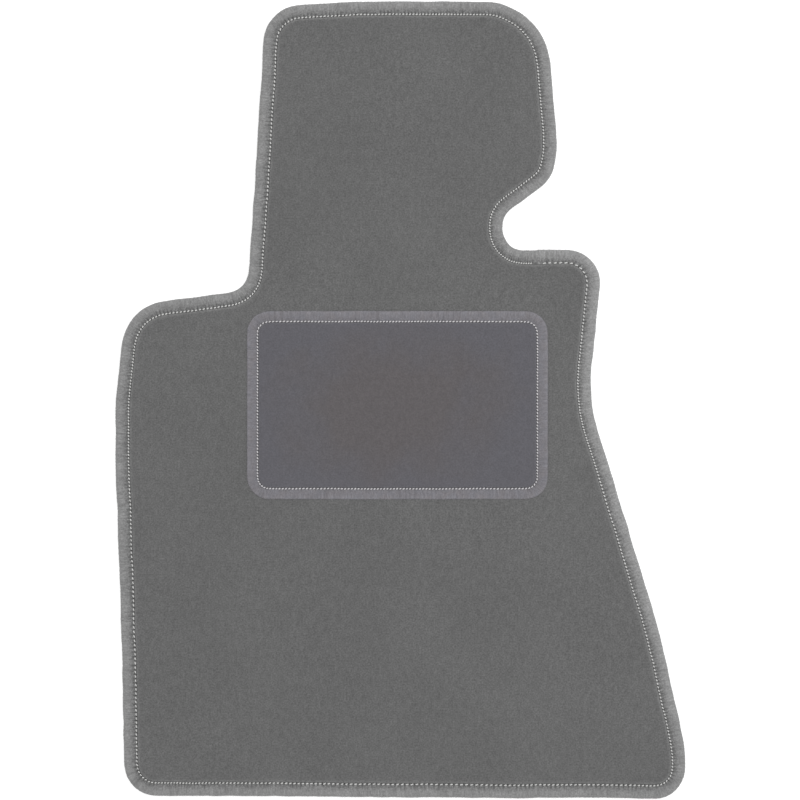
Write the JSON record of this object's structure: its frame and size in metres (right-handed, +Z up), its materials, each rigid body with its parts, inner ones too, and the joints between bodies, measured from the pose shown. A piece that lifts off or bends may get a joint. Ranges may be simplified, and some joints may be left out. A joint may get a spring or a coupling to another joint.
{
  "type": "driver's footwell carpet mat",
  "caption": "Flat tailored carpet mat for a driver's footwell, with a taped and stitched edge, a pedal notch and a sewn-on heel pad.",
  "frame": {"origin": "middle of the mat's overall length and width, on the floor under it", "axes": "+Z up, +Y forward towards the pedals, +X across the footwell towards the centre tunnel (to the driver's right)"},
  "size_m": [0.5359, 0.7497, 0.0092],
  "materials": {
    "velour": "mid-grey cut pile",
    "primary_backing": "woven backing",
    "grip_sheet": "matt with small nibs",
    "edge_tape": "light-grey ribbed tape",
    "edge_thread": "off-white twisted thread",
    "pad_velour": "purple-grey short cut pile",
    "pad_backing": "woven backing",
    "pad_tape": "purple-grey ribbed tape",
    "pad_thread": "off-white twisted thread"
  },
  "bodies": {
    "root": {"velour_pile": "velour", "primary_backing": "primary_backing", "grip_backing": "grip_sheet", "edge_binding": "edge_tape", "edge_needle_thread": "edge_thread", "edge_bobbin_thread": "edge_thread", "heel_pad_pile": "pad_velour", "heel_pad_backing": "pad_backing", "heel_pad_binding": "pad_tape", "heel_pad_needle_thread": "pad_thread", "heel_pad_bobbin_thread": "pad_thread"}
  },
  "joints": []
}
